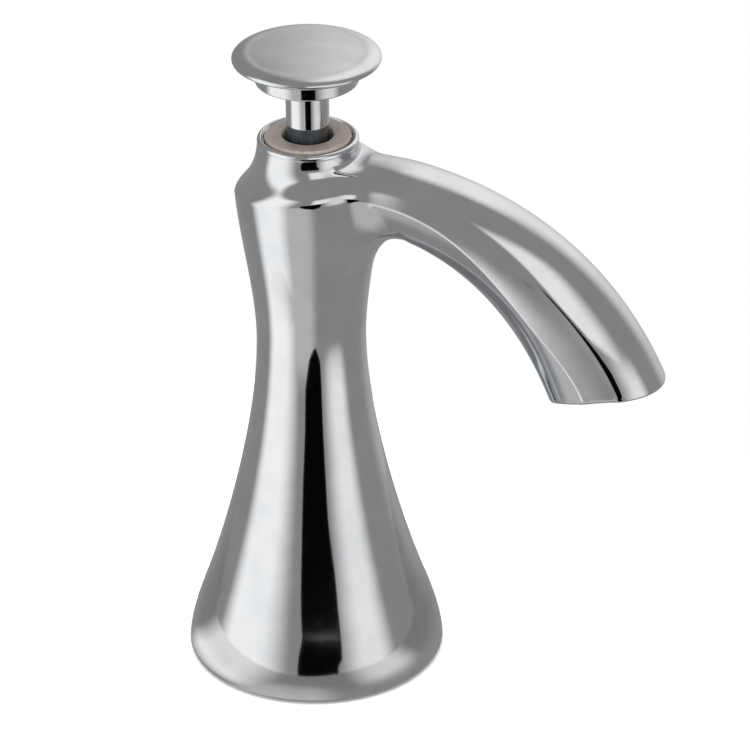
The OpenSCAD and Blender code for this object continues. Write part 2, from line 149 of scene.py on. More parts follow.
# Moulded EPDM rubber: near black, dull, with fine bloom.
def drawRubber(tree, surface, place):
    mottle(tree, surface, place, "#1a1b1c", "#2a2b2d", 0.6)
    graze(tree, surface, place, 0.55, 0.75, 0.18, 0.008)


# Drawn stainless wire: bright, with die lines that break up its gloss.
def drawSpringSteel(tree, surface, place):
    mottle(tree, surface, place, "#a9a7a2", "#c4c2be", 0.5)
    graze(tree, surface, place, 0.18, 0.32, 0.2, 0.002)


# Ground stainless ball: a mirror with a few dull specks.
def drawBallSteel(tree, surface, place):
    mottle(tree, surface, place, "#bdbbb8", "#cccac8", 0.8)
    graze(tree, surface, place, 0.04, 0.12, 0.3, 0.0)


# Extruded polyethylene tube: translucent, with haze in streaks along it.
def drawClearTube(tree, surface, place):
    mottle(tree, surface, place, "#dfe7e6", "#f1f5f4", 2.0, stretch=(1, 1, 0.1))
    graze(tree, surface, place, 0.18, 0.32, 0.6, 0.0, (1, 1, 0.1))


# Blow-moulded polyethylene bottle: milky white, its wall cloudy and very slightly uneven.
def drawBottlePlastic(tree, surface, place):
    mottle(tree, surface, place, "#e3e5e0", "#edefea", 22.0)
    graze(tree, surface, place, 0.32, 0.46, 3.0, 0.03)


# Moulded glass-filled nylon: off-white with short fibre flecks near the surface.
def drawNutPlastic(tree, surface, place):
    mottle(tree, surface, place, "#c9c6bd", "#e2dfd7", 0.7, stretch=(1, 0.35, 1))
    graze(tree, surface, place, 0.4, 0.6, 0.25, 0.01)


# Turned free-cutting brass: warm metal, its roughness in rings round the lathe's axis.
def drawShankBrass(tree, surface, place):
    mottle(tree, surface, place, "#b08c4a", "#c9a765", 3.0)
    graze(tree, surface, place, 0.2, 0.36, 0.5, 0.004, (0.1, 0.1, 1))


finishes = {
    "chrome_casting": makeMaterial("chromium plate on buffed zinc", {"Metallic": 1.0}, drawCastChrome),
    "chrome_button": makeMaterial("chromium plate on turned brass", {"Metallic": 1.0}, drawTurnedChrome),
    "collar_plastic": makeMaterial("moulded grey acetal", {"IOR": 1.48}, drawCollarPlastic),
    "stem_plastic": makeMaterial("ground dark acetal", {"IOR": 1.48}, drawStemPlastic),
    "nozzle_plastic": makeMaterial("moulded black ABS", {"IOR": 1.53}, drawNozzlePlastic),
    "pump_plastic": makeMaterial("moulded polypropylene", {"IOR": 1.49}, drawPumpPlastic),
    "rubber": makeMaterial("moulded EPDM rubber", {"IOR": 1.52}, drawRubber),
    "spring_steel": makeMaterial("drawn stainless wire", {"Metallic": 1.0}, drawSpringSteel),
    "ball_steel": makeMaterial("ground stainless ball", {"Metallic": 1.0}, drawBallSteel),
    "clear_tube": makeMaterial("extruded clear polyethylene",
                               {"IOR": 1.51, "Transmission Weight": 0.7}, drawClearTube),
    "bottle_plastic": makeMaterial("blow-moulded polyethylene",
                                   {"IOR": 1.54, "Transmission Weight": 0.35}, drawBottlePlastic),
    "nut_plastic": makeMaterial("moulded glass-filled nylon", {"IOR": 1.53}, drawNutPlastic),
    "shank_brass": makeMaterial("turned brass", {"Metallic": 1.0}, drawShankBrass),
}
print("materials made,", len(finishes))


# Places a finished mesh on its body, in place of the CAD nodes that it stands for.
def addPiece(name, mesh, body, slot, stands):
    piece = bpy.data.objects.new(name, mesh)
    scene.collection.objects.link(piece)
    mesh.materials.clear()
    mesh.materials.append(finishes[slot])
    mesh.shade_smooth()
    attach(piece, body)
    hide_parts(*stands)
    print("piece", name, len(mesh.polygons), "faces")
    return piece


def meshFrom(name, points, faces):
    mesh = bpy.data.meshes.new(name)
    mesh.from_pydata([tuple(c * mm for c in p) for p in points], [], faces)
    work = bmesh.new()
    work.from_mesh(mesh)
    bmesh.ops.remove_doubles(work, verts=work.verts, dist=1e-7)
    bmesh.ops.recalc_face_normals(work, faces=work.faces)
    work.to_mesh(mesh)
    work.free()
    return mesh


# An outline's corners rounded: each point is (radius, height, rounding), and rounding 0 leaves it alone.
def roundCorners(outline, closed=True, steps=5, hold=0.05):
    points = []
    count = len(outline)
    for i, (x, y, size) in enumerate(outline):
        here = np.array([x, y])
        if size <= 0 or (not closed and i in (0, count - 1)):
            points.append(here)
            continue
        before = np.array(outline[i - 1][:2]) - here
        after = np.array(outline[(i + 1) % count][:2]) - here
        lengths = np.linalg.norm(before), np.linalg.norm(after)
        before, after = before / lengths[0], after / lengths[1]
        half = math.acos(max(-1.0, min(1.0, float(before @ after)))) / 2
        if half > 1.55:
            points.append(here)
            continue
        reach = min(size / math.tan(half), 0.42 * min(lengths))
        middle = here + (before + after) / np.linalg.norm(before + after) * reach / math.cos(half)
        radius = reach * math.tan(half)
        start, end = here + before * reach, here + after * reach
        points.append(start + before * hold)
        turn = math.pi - 2 * half
        side = np.array(start - middle)
        sign = 1 if (side[0] * (end - middle)[1] - side[1] * (end - middle)[0]) > 0 else -1
        for k in range(steps + 1):
            a = sign * turn * k / steps
            points.append(middle + np.array([side[0] * math.cos(a) - side[1] * math.sin(a),
                                             side[0] * math.sin(a) + side[1] * math.cos(a)]))
        points.append(end + after * hold)
    return [tuple(p) for p in points]


# A solid of revolution about the pump's axis. The outline is closed, or it starts and ends on the axis.
def lathe(name, outline, closed=True, sides=128, steps=5):
    line = roundCorners(outline, closed, steps)
    points, rings = [], []
    for r, z in line:
        if r < 1e-6:
            rings.append([len(points)] * sides)
            points.append((0, 0, z))
        else:
            rings.append(list(range(len(points), len(points) + sides)))
            points += [(r * math.cos(2 * math.pi * k / sides), r * math.sin(2 * math.pi * k / sides), z)
                       for k in range(sides)]
    faces = []
    for j in range(len(rings) if closed else len(rings) - 1):
        low, high = rings[j], rings[(j + 1) % len(rings)]
        for k in range(sides):
            face = [low[k], low[(k + 1) % sides], high[(k + 1) % sides], high[k]]
            kept = [v for n, v in enumerate(face) if v not in face[:n]]
            if len(kept) > 2:
                faces.append(kept)
    return meshFrom(name, points, faces)


def heights(node):
    low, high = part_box(node)
    return low.z / mm, high.z / mm, max(high.x, high.y) / mm


shot = {
    "aim": (0, 0, 70),              # point on the pump's axis, in millimetres
    "distance": 1000,
    "azimuth": 20,
    "elevation": 28.41,
    "roll": -1.01,
    "lens": 218.2,
    "aside": (-0.01386, 0.00198),   # where that point falls from the middle, as tangents
}


def placeCamera(shot):
    a, e, roll = (math.radians(shot[k]) for k in ("azimuth", "elevation", "roll"))
    aim = Vector(shot["aim"])
    spot = aim + shot["distance"] * Vector((math.cos(e) * math.sin(a), -math.cos(e) * math.cos(a), math.sin(e)))
    ahead = (aim - spot).normalized()
    right = Vector((math.cos(a), math.sin(a), 0))
    up = right.cross(ahead)
    right, up = math.cos(roll) * right + math.sin(roll) * up, math.cos(roll) * up - math.sin(roll) * right
    yaw = -math.atan(shot["aside"][0])
    ahead, right = (math.cos(yaw) * ahead + math.sin(yaw) * right, math.cos(yaw) * right - math.sin(yaw) * ahead)
    pitch = -math.atan(shot["aside"][1] * math.cos(yaw))
    ahead, up = (math.cos(pitch) * ahead + math.sin(pitch) * up, math.cos(pitch) * up - math.sin(pitch) * ahead)
    lens = bpy.data.cameras.new("camera")
    lens.lens, lens.sensor_width = shot["lens"], 36
    lens.clip_start, lens.clip_end = 0.05, 20
    camera = bpy.data.objects.new("camera", lens)
    scene.collection.objects.link(camera)
    camera.matrix_world = Matrix(((right.x, up.x, -ahead.x, spot.x * mm), (right.y, up.y, -ahead.y, spot.y * mm),
                                  (right.z, up.z, -ahead.z, spot.z * mm), (0, 0, 0, 1)))
    scene.camera = camera


placeCamera(shot)
print("camera placed")

rimTop = heights("spout_body")[1]
bodySizes = {
    "sides": 32,
    "footRadius": 28.6, "footEdge": 1.5, "flare": (24.4, 17.0), "waist": (12.0, 78.0),
    "shoulder": (16.05, 113.0), "neckRadius": 10.95,
    "archRise": 4.6,                # how much higher the shoulder's crease is at the spout than at the back
    "archFrom": 92.0,               # height under which the column stays level
    "holeHalf": 4,                  # half of the columns that the spout takes
    "reach": 64.8, "lip": 76.2, "root": 112.5,
    "halfWidth": {0.0: 9.2, 1.0: 10.8},     # along the spout from its root, 0, to its lip, 1
    "above": {0.0: 6.8, 0.25: 9.75, 0.5: 12.25, 0.75: 14.05, 1.0: 15.1},
    "below": {0.0: 6.2, 0.3: 6.15, 0.5: 6.65, 0.75: 8.5, 1.0: 10.3},
    "creaseRise": {0.0: 3.0, 0.2: 3.8, 0.35: 4.1, 0.5: 2.4, 0.62: 0.6, 0.8: -0.2, 1.0: 0.8},
    "slant": 11.0, "lipHollow": 1.6, "blend": 0.36, "turnOut": 1.1, "wall": 2.3, "topCells": 8,
    "ridge": (0.5, 0.6),            # where the upper ridge lies on the section, from top 0 to crease 1
    "creaseSharp": 0.65, "ridgeSharp": 0.45, "shoulderSharp": 0.7,
}


def cubic(p, t):
    p = np.array(p, float)
    return (1 - t) ** 3 * p[0] + 3 * (1 - t) ** 2 * t * p[1] + 3 * (1 - t) * t * t * p[2] + t ** 3 * p[3]


def cubicDirection(p, t):
    p = np.array(p, float)
    d = (1 - t) ** 2 * (p[1] - p[0]) + 2 * (1 - t) * t * (p[2] - p[1]) + t * t * (p[3] - p[2])
    return d / np.linalg.norm(d)


# A smooth value through those given along the spout.
def along(values, t):
    marks = list(values)
    return float(np.polyval(np.polyfit(marks, [values[m] for m in marks], len(marks) - 1), t))


def smooth(x):
    x = max(0.0, min(1.0, x))
    return x * x * (3 - 2 * x)


# Point of an arc over a chord of half length w with height h, at s from -1 to 1.
def arcAt(w, h, s):
    a = 2 * math.atan2(h, w)
    r = w / math.sin(a)
    return np.array([r * math.sin(a * s), r * math.cos(a * s) - r + h])


def columnRows(b):
    fr, fz = b["flare"]
    wr, wz = b["waist"]
    sr, sz = b["shoulder"]
    nr = b["neckRadius"]
    crown = sz - wz
    foot = [(b["footRadius"], b["footEdge"] + 0.1), (b["footRadius"] - 0.3, b["footEdge"] + 5),
            (fr + 1.65, fz - 4.5), (fr, fz)]
    rise = [(fr, fz), (fr - 5.8, fz + 16.5), (wr, wz - 18), (wr, wz)]
    crownLine = [(wr, wz), (wr, wz + 0.34 * crown), (sr - 0.65, sz - 0.29 * crown), (sr, sz)]
    neck = [(sr, sz), (sr - 0.45, sz + 2.4), (nr + 0.55, sz + 3.6), (nr, rimTop - 1.3)]
    edge = b["footEdge"]
    middle = b["footRadius"] - edge
    rows = [(middle - 0.7, 0), (middle - 0.15, 0)]
    rows += [(middle + edge * math.sin(a), edge - edge * math.cos(a)) for a in np.radians([15, 40, 65, 90])]
    rows += [tuple(cubic(foot, t)) for t in (0.12, 0.28, 0.45, 0.62, 0.8, 1.0)]
    rows += [tuple(cubic(rise, t)) for t in (0.08, 0.17, 0.27, 0.37, 0.47, 0.57, 0.67, 0.78, 0.89, 1.0)]
    rows += [tuple(cubic(crownLine, t)) for t in (0.12, 0.24, 0.36, 0.46, 0.56, 0.67, 0.78, 0.89, 1.0)]
    marks = {"holeLow": len(rows) - 6, "crease": len(rows) - 1}
    rows += [tuple(cubic(neck, t)) for t in (0.12, 0.28, 0.44, 0.6, 0.76, 0.9, 1.0)]
    marks["holeHigh"] = len(rows) - 2
    rr = nr + 0.04
    rows += [(rr, rimTop - 1.05), (rr, rimTop - 0.82), (rr - 0.06, rimTop - 0.52), (rr - 0.2, rimTop - 0.27),
             (rr - 0.42, rimTop - 0.1), (rr - 0.66, rimTop - 0.02), (rr - 0.84, rimTop - 0.04),
             (rr - 0.97, rimTop - 0.15)]
    marks["outerEnd"] = len(rows)
    seat, flange, bore = 8.9, 9.7, 12.45
    floor, low = rimTop - 3.1, 100.4
    rows += [(flange + 0.12, rimTop - 0.42), (flange, rimTop - 0.7), (flange, floor + 0.3),
             (flange - 0.1, floor + 0.05),
             (flange - 0.3, floor), (seat + 0.2, floor), (seat + 0.04, floor - 0.05), (seat, floor - 0.3),
             (seat, 112), (seat, low + 0.3), (seat + 0.1, low + 0.03), (seat + 0.5, low), (11.6, low - 1)]
    wall = b["wall"]
    rows += [(cubic(crownLine, t)[0] - wall, cubic(crownLine, t)[1]) for t in (0.5, 0.3, 0.1)]
    rows += [(cubic(rise, t)[0] - wall, cubic(rise, t)[1]) for t in (0.9, 0.75, 0.6, 0.45, 0.3, 0.15, 0.0)]
    rows += [(fr - wall - 0.4, 12.4), (fr - wall - 1.0, 12.0), (bore + 2, 12.0), (bore + 0.3, 12.0), (bore, 11.7),
             (bore, 6), (bore, 0.3), (bore + 0.2, 0), (16.1, 0), (16.3, 0.2), (16.4, 1.6), (16.4, 5),
             (16.4, 9.3), (16.8, 9.7), (20, 9.7), (23.3, 9.7), (23.7, 9.3), (23.7, 5), (23.7, 1.9), (24.0, 1.6),
             (26.0, 1.6), (26.3, 1.4), (26.3, 0.2)]
    return rows, marks


def spoutSection(b, t, inset, shift, sideHigh, sideLow):
    line = [(0, b["root"]), (0.415 * b["reach"], b["root"] + 5.2),
            (b["reach"] - 11.3, b["lip"] + 25), (b["reach"], b["lip"])]
    delta = along(b["creaseRise"], t)
    w = along(b["halfWidth"], t) - inset
    up = along(b["above"], t) - delta - inset
    down = along(b["below"], t) + delta - inset
    ridge = b["ridge"][0] + (b["ridge"][1] - b["ridge"][0]) * t
    flat = 0.85 * smooth((t - 0.45) / 0.4)
    top = b["topCells"]
    count = 2 * sideHigh + top
    places = [1 + (ridge - 1) * k / sideHigh for k in range(sideHigh)]
    places += [ridge - 2 * ridge * k / top for k in range(top + 1)]
    places += [-p for p in places[sideHigh - 1::-1]]
    upper = [arcAt(w, up, s) for s in places]
    for k in range(1, sideHigh):        # the side between crease and ridge flattens towards the lip
        for a, e, m in ((0, sideHigh, k), (count, count - sideHigh, count - k)):
            chord = upper[a] + (upper[e] - upper[a]) * k / sideHigh
            upper[m] = upper[m] + (chord - upper[m]) * flat
    under = 2 * sideLow + top
    lower = [arcAt(w, down, -1 + 2 * k / under) * np.array([1, -1]) for k in range(under + 1)]
    for k in range(1, sideLow):
        for a, e, m in ((0, sideLow, k), (under, under - sideLow, under - k)):
            chord = lower[a] + (lower[e] - lower[a]) * k / sideLow
            lower[m] = lower[m] + (chord - lower[m]) * 0.5
    near = max(0.0, (t - 0.65) / 0.35) ** 2
    slant = math.tan(math.radians(b["slant"])) * near
    ring = []
    for across, height in upper + lower[1:-1]:
        share = (height + down) / (up + down)
        local = t + shift * (0.5 - share)
        c, d = cubic(line, local), cubicDirection(line, local)
        u = np.array([-d[1], d[0]])
        ahead = slant * (height + delta) + b["lipHollow"] * near * ((2 * share - 1) ** 2 - 0.35)
        q = c + u * (height + delta) + d * ahead
        ring.append((q[0], across, q[1]))
    return ring


def buildBody(b):
    sides, half = b["sides"], b["holeHalf"]
    rows, marks = columnRows(b)
    sr, sz = b["shoulder"]
    points, faces, creases = [], [], []
    grid = {}
    low, crease, high = marks["holeLow"], marks["crease"], marks["holeHigh"]
    for j, (r, z) in enumerate(rows):
        for i in range(-sides // 2, sides // 2):
            if abs(i) < half and low < j < high:
                continue
            a = 2 * math.pi * i / sides
            rise = b["archRise"] * (1 - ((1 - math.cos(a)) / 2) ** 2)
            if j >= marks["outerEnd"]:
                share = 0
            elif z <= sz:
                share = smooth((z - b["archFrom"]) / (sz - b["archFrom"]))
            else:
                share = 1 - smooth((z - sz) / (rimTop - 1.3 - sz))
            grid[j, i % sides] = len(points)
            points.append((r * math.cos(a), r * math.sin(a), z + rise * share))
    for j in range(len(rows)):
        nextRow = (j + 1) % len(rows)
        for i in range(-sides // 2, sides // 2):
            if -half <= i < half and low <= j < high:
                continue
            faces.append([grid[j, i % sides], grid[j, (i + 1) % sides],
                          grid[nextRow, (i + 1) % sides], grid[nextRow, i % sides]])
    for i in range(half, sides - half):
        creases.append((grid[crease, i], grid[crease, i + 1], b["shoulderSharp"]))
    loop = [grid[j, half] for j in range(crease, high)]
    loop += [grid[high, i % sides] for i in range(half, -half, -1)]
    loop += [grid[j, -half % sides] for j in range(high, low, -1)]
    loop += [grid[low, i % sides] for i in range(-half, half)]
    loop += [grid[j, half] for j in range(low, crease)]
    # how the column's surface runs into the hole at each point of its edge
    runs = []
    for j, i in ([(j, half) for j in range(crease, high)] + [(high, i) for i in range(half, -half, -1)]
                 + [(j, -half) for j in range(high, low, -1)] + [(low, i) for i in range(-half, half)]
                 + [(j, half) for j in range(low, crease)]):
        here, run = np.array(points[grid[j, i % sides]]), np.zeros(3)
        if abs(i) == half:
            step = here - points[grid[j, (i + (1 if i > 0 else -1)) % sides]]
            run += step / np.linalg.norm(step)
        if j in (low, high):
            step = here - points[grid[j + (1 if j == high else -1), i % sides]]
            run += step / np.linalg.norm(step)
            if j == high:                   # a small hollow at the neck, so the way turns out at once
                run += np.array([here[0], here[1], 0]) / np.hypot(here[0], here[1]) * b["turnOut"]
        runs.append(run / np.linalg.norm(run))
    wall = b["wall"]
    sideHigh, sideLow = high - crease, crease - low
    upperEnd = 2 * sideHigh + b["topCells"]
    stations = [(0.243, 0, 0.135), (0.285, 0, 0.095), (0.325, 0, 0.055), (0.37, 0, 0.02)]
    stations += [(t, 0, 0) for t in (0.415, 0.46, 0.505, 0.55, 0.595, 0.64, 0.685, 0.73, 0.775, 0.82, 0.865, 0.91,
                                     0.95, 0.98, 0.993)]
    stations += [(0.9975, 0.1, 0), (1.0, 0.35, 0), (1.0, 1.0, 0), (1.0, wall - 0.35, 0), (0.9975, wall - 0.1, 0),
                 (0.993, wall, 0)]
    outer = 19
    first = spoutSection(b, *stations[0], sideHigh, sideLow)
    second = spoutSection(b, *stations[1], sideHigh, sideLow)
    blend = []
    for u in (0.22, 0.46, 0.73):
        ring = []
        for k, start in enumerate(loop):
            a, e = np.array(points[start]), np.array(first[k])
            back = e - np.array(second[k])
            reach = b["blend"] * np.linalg.norm(e - a)
            ring.append(tuple(cubic([a, a + runs[k] * reach, e + back / np.linalg.norm(back) * reach, e], u)))
        blend.append(ring)
    stations += [(t, wall, 0) for t in (0.96, 0.9, 0.8, 0.7, 0.6, 0.5, 0.4, 0.33, 0.3)]
    stations += [(0.29, wall + 1.5, 0), (0.285, wall + 3.4, 0)]
    last = loop
    rings = [(0, ring) for ring in blend]
    rings += [(t, spoutSection(b, t, inset, shift, sideHigh, sideLow)) for t, inset, shift in stations]
    outer += len(blend)
    for n, (t, ring) in enumerate(rings):
        now = list(range(len(points), len(points) + len(ring)))
        points += ring
        for k in range(len(now)):
            m = (k + 1) % len(now)
            faces.append([last[k], last[m], now[m], now[k]])
        if n < outer:
            grow = smooth((t - 0.5) / 0.3)
            for k in (0, upperEnd):
                creases.append((last[k], now[k], b["creaseSharp"]))
            for k in (sideHigh, upperEnd - sideHigh):
                if grow > 0:
                    creases.append((last[k], now[k], b["ridgeSharp"] * grow))
        last = now
    faces.append(last[::-1])
    free = len(points) - 3 * len(loop)      # all but the closed end of the passage inside
    # the cage is pulled until the smooth surface passes through the drawn points
    target = np.array(points)
    cage = target.copy()
    mesh = bpy.data.meshes.new("spoutCage")
    mesh.from_pydata([tuple(p * mm) for p in cage], [], faces)
    work = bmesh.new()
    work.from_mesh(mesh)
    layer = work.edges.layers.float.new("crease_edge")
    work.verts.ensure_lookup_table()
    for a, c, weight in creases:
        edge = work.edges.get((work.verts[a], work.verts[c]))
        edge[layer] = weight
    bmesh.ops.recalc_face_normals(work, faces=work.faces)
    work.to_mesh(mesh)
    work.free()
    holder = bpy.data.objects.new("spoutCage", mesh)
    scene.collection.objects.link(holder)
    rounds = holder.modifiers.new("rounds", "SUBSURF")
    rounds.levels = rounds.render_levels = 1
    rounds.use_limit_surface = True
    for step in range(3):
        graph = bpy.context.evaluated_depsgraph_get()
        graph.update()
        shown = holder.evaluated_get(graph).to_mesh()
        reached = np.array([v.co for v in shown.vertices[:len(target)]]) / mm
        holder.evaluated_get(graph).to_mesh_clear()
        cage[:free] += (target - reached)[:free] * 0.8
        mesh.vertices.foreach_set("co", (cage * mm).astype(np.float32).ravel())
        mesh.update()
    rounds.levels = rounds.render_levels = 2
    graph = bpy.context.evaluated_depsgraph_get()
    graph.update()
    made = bpy.data.meshes.new_from_object(holder.evaluated_get(graph))
    bpy.data.objects.remove(holder)
    return made


addPiece("spoutBody", buildBody(bodySizes), "deck_body", "chrome_casting", ["spout_body"])
print("column and spout made")

capSizes = {"flat": 12.3, "edgeUp": 1.15, "dome": 0.55, "bevel": 0.9}
capLow, capHigh, capRadius = heights("push_cap")


def buildCap(c):
    reach = capRadius - c["flat"]
    flatZ = capHigh - c["dome"]
    line = [(0, capLow, 0), (capRadius - 1.6, capLow, c["bevel"])]
    side = [(c["flat"] + reach * math.cos(a),
             capLow + c["edgeUp"] + (flatZ - capLow - c["edgeUp"]) * math.sin(a), 0)
            for a in np.radians(np.linspace(-14, 90, 16))]
    top = [(c["flat"] * k, capHigh - c["dome"] * k * k, 0) for k in np.linspace(0.94, 0, 12)]
    return lathe("pushButton", line + side + top, closed=False)


button = addPiece("pushButton", buildCap(capSizes), "plunger", "chrome_button", ["push_cap"])

discLow, discHigh, discRadius = heights("cap_base_disc")
discTop = capLow
discSizes = {"edge": 0.35, "hole": 3.62, "boss": 7.0}
d = discSizes
disc = addPiece("buttonDisc", lathe("buttonDisc", [
    (0, discHigh, 0), (d["boss"], discHigh, 0.15), (d["boss"], discTop, 0.1), (discRadius, discTop, 0.2),
    (discRadius, discLow, d["edge"]), (d["hole"], discLow, 0.1), (d["hole"], discHigh - 1.4, 0.1),
    (0, discHigh - 1.4, 0)], closed=False), "plunger", "chrome_button", ["cap_base_disc"])

sleeveLow, sleeveHigh, sleeveRadius = heights("stem_sleeve")
addPiece("stemSleeve", lathe("stemSleeve", [
    (sleeveRadius, sleeveLow, 0.25), (sleeveRadius, sleeveHigh, 0.05), (d["hole"], sleeveHigh, 0.05),
    (d["hole"], sleeveLow, 0.1)]), "plunger", "chrome_button", ["stem_sleeve"])

rodLow, rodHigh, rodRadius = heights("piston_rod")
rodSizes = {"pin": 3.6, "plug": 2.58, "plugTop": 103.7}
r = rodSizes
addPiece("pistonRod", lathe("pistonRod", [
    (0, rodLow, 0), (r["plug"], rodLow, 0.2), (r["plug"], r["plugTop"], 0.05), (rodRadius, r["plugTop"], 0.3),
    (rodRadius, sleeveLow, 0.1), (r["pin"], sleeveLow, 0.05), (r["pin"], rodHigh, 0.2), (0, rodHigh, 0)],
    closed=False), "plunger", "stem_plastic", ["piston_rod"])

collarLow, collarHigh, collarRadius = heights("pump_collar")
collarSizes = {"flange": 3.1, "well": 5.45, "wellFloor": 116.7, "spigot": 6.18, "bore": 4.5, "wiper": 5.6,
               "wiperTop": 113.9, "chamfer": 0.35}
c = collarSizes
flangeLow = rimTop - c["flange"]
addPiece("pumpCollar", lathe("pumpCollar", [
    (collarRadius, flangeLow, 0.1), (collarRadius, collarHigh - c["chamfer"], 0.12),
    (collarRadius - c["chamfer"], collarHigh, 0.12), (c["well"] + 0.35, collarHigh, 0.1),
    (c["well"], collarHigh - 0.35, 0.1), (c["well"], c["wellFloor"], 0.2), (c["bore"], c["wellFloor"], 0.1),
    (c["bore"], c["wiperTop"], 0.05), (c["wiper"], c["wiperTop"], 0.05), (c["wiper"], collarLow, 0.1),
    (c["spigot"], collarLow, 0.2), (c["spigot"], flangeLow, 0.1)]), "pump_cartridge", "collar_plastic",
    ["pump_collar"])
button.visible_glossy = disc.visible_glossy = False     # kept out of the spout's reflections
print("button, stem and collar made")


# A wire wound into a helix about the pump's axis, its end coils laid flat for the given part of their turns.
def helixTree():
    tree = bpy.data.node_groups.new("woundWire", "GeometryNodeTree")
    ids = {}
    for name, kind in (("Geometry", "NodeSocketGeometry"), ("Radius", "NodeSocketFloat"),
                       ("Wire", "NodeSocketFloat"),
                       ("Coils", "NodeSocketFloat"), ("Low", "NodeSocketFloat"), ("High", "NodeSocketFloat"),
                       ("Dead coils", "NodeSocketFloat"), ("Steps", "NodeSocketInt"), ("Sides", "NodeSocketInt"),
                       ("Material", "NodeSocketMaterial")):
        ids[name] = tree.interface.new_socket(name, in_out="INPUT", socket_type=kind).identifier
    tree.interface.new_socket("Geometry", in_out="OUTPUT", socket_type="NodeSocketGeometry")
    given = addNode(tree, "NodeGroupInput").outputs
    line = addNode(tree, "GeometryNodeCurvePrimitiveLine", values={"End": (0, 0, 1)})
    fine = addNode(tree, "GeometryNodeResampleCurve",
                   links={"Curve": line.outputs["Curve"], "Count": given["Steps"]})
    part = addNode(tree, "GeometryNodeSplineParameter").outputs["Factor"]
    turns = addNode(tree, "ShaderNodeMath", {"operation": "MULTIPLY"}, links={0: part, 1: given["Coils"]})
    angle = addNode(tree, "ShaderNodeMath", {"operation": "MULTIPLY"}, {1: 2 * math.pi}, {0: turns.outputs[0]})
    cosine = addNode(tree, "ShaderNodeMath", {"operation": "COSINE"}, links={0: angle.outputs[0]})
    sine = addNode(tree, "ShaderNodeMath", {"operation": "SINE"}, links={0: angle.outputs[0]})
    x = addNode(tree, "ShaderNodeMath", {"operation": "MULTIPLY"},
                links={0: cosine.outputs[0], 1: given["Radius"]})
    y = addNode(tree, "ShaderNodeMath", {"operation": "MULTIPLY"}, links={0: sine.outputs[0], 1: given["Radius"]})
    # the height climbs by one wire over each dead coil, and evenly between them
    lastTurn = addNode(tree, "ShaderNodeMath", {"operation": "SUBTRACT"},
                       links={0: given["Coils"], 1: given["Dead coils"]})
    dead = addNode(tree, "ShaderNodeMath", {"operation": "MULTIPLY"}, {1: 2.0}, {0: given["Wire"]})
    dead = addNode(tree, "ShaderNodeMath", {"operation": "MULTIPLY"},
                   links={0: dead.outputs[0], 1: given["Dead coils"]})
    firstUp = addNode(tree, "ShaderNodeMath", {"operation": "ADD"}, links={0: given["Low"], 1: dead.outputs[0]})
    lastUp = addNode(tree, "ShaderNodeMath", {"operation": "SUBTRACT"},
                     links={0: given["High"], 1: dead.outputs[0]})
    start = addNode(tree, "ShaderNodeMapRange", links={"Value": turns.outputs[0], "From Max": given["Dead coils"],
                                                       "To Min": given["Low"], "To Max": firstUp.outputs[0]})
    middle = addNode(tree, "ShaderNodeMapRange",
                     links={"Value": turns.outputs[0], "From Min": given["Dead coils"],
                            "From Max": lastTurn.outputs[0],
                            "To Min": firstUp.outputs[0], "To Max": lastUp.outputs[0]})
    end = addNode(tree, "ShaderNodeMapRange", links={"Value": turns.outputs[0], "From Min": lastTurn.outputs[0],
                                                     "From Max": given["Coils"], "To Min": lastUp.outputs[0],
                                                     "To Max": given["High"]})
    both = addNode(tree, "ShaderNodeMath", {"operation": "ADD"},
                   links={0: start.outputs[0], 1: middle.outputs[0]})
    three = addNode(tree, "ShaderNodeMath", {"operation": "ADD"}, links={0: both.outputs[0], 1: end.outputs[0]})
    less = addNode(tree, "ShaderNodeMath", {"operation": "ADD"},
                   links={0: firstUp.outputs[0], 1: lastUp.outputs[0]})
    z = addNode(tree, "ShaderNodeMath", {"operation": "SUBTRACT"},
                links={0: three.outputs[0], 1: less.outputs[0]})
    spot = addNode(tree, "ShaderNodeCombineXYZ", links={"X": x.outputs[0], "Y": y.outputs[0], "Z": z.outputs[0]})
    bent = addNode(tree, "GeometryNodeSetPosition",
                   links={"Geometry": fine.outputs["Curve"], "Position": spot.outputs["Vector"]})
    profile = addNode(tree, "GeometryNodeCurvePrimitiveCircle",
                      links={"Radius": given["Wire"], "Resolution": given["Sides"]})
    swept = addNode(tree, "GeometryNodeCurveToMesh", values={"Fill Caps": True},
                    links={"Curve": bent.outputs["Geometry"], "Profile Curve": profile.outputs["Curve"]})
    real = addNode(tree, "GeometryNodeRealizeInstances", links={"Geometry": swept.outputs["Mesh"]})
    faced = addNode(tree, "GeometryNodeSetMaterial",
                    links={"Geometry": real.outputs["Geometry"], "Material": given["Material"]})
    addNode(tree, "NodeGroupOutput", links={"Geometry": faced.outputs["Geometry"]})
    return tree, ids


windTree, windIds = helixTree()


def windWire(name, sizes):
    holder = bpy.data.objects.new(name, bpy.data.meshes.new(name))
    scene.collection.objects.link(holder)
    wind = holder.modifiers.new("wind", "NODES")
    wind.node_group = windTree
    for key, value in sizes.items():
        wind[windIds[key]] = value
    graph = bpy.context.evaluated_depsgraph_get()
    graph.update()
    made = bpy.data.meshes.new_from_object(holder.evaluated_get(graph))
    holder.modifiers.remove(wind)
    bpy.data.objects.remove(holder)
    work = bmesh.new()
    work.from_mesh(made)
    bmesh.ops.recalc_face_normals(work, faces=work.faces)
    work.to_mesh(made)
    work.free()
    return made


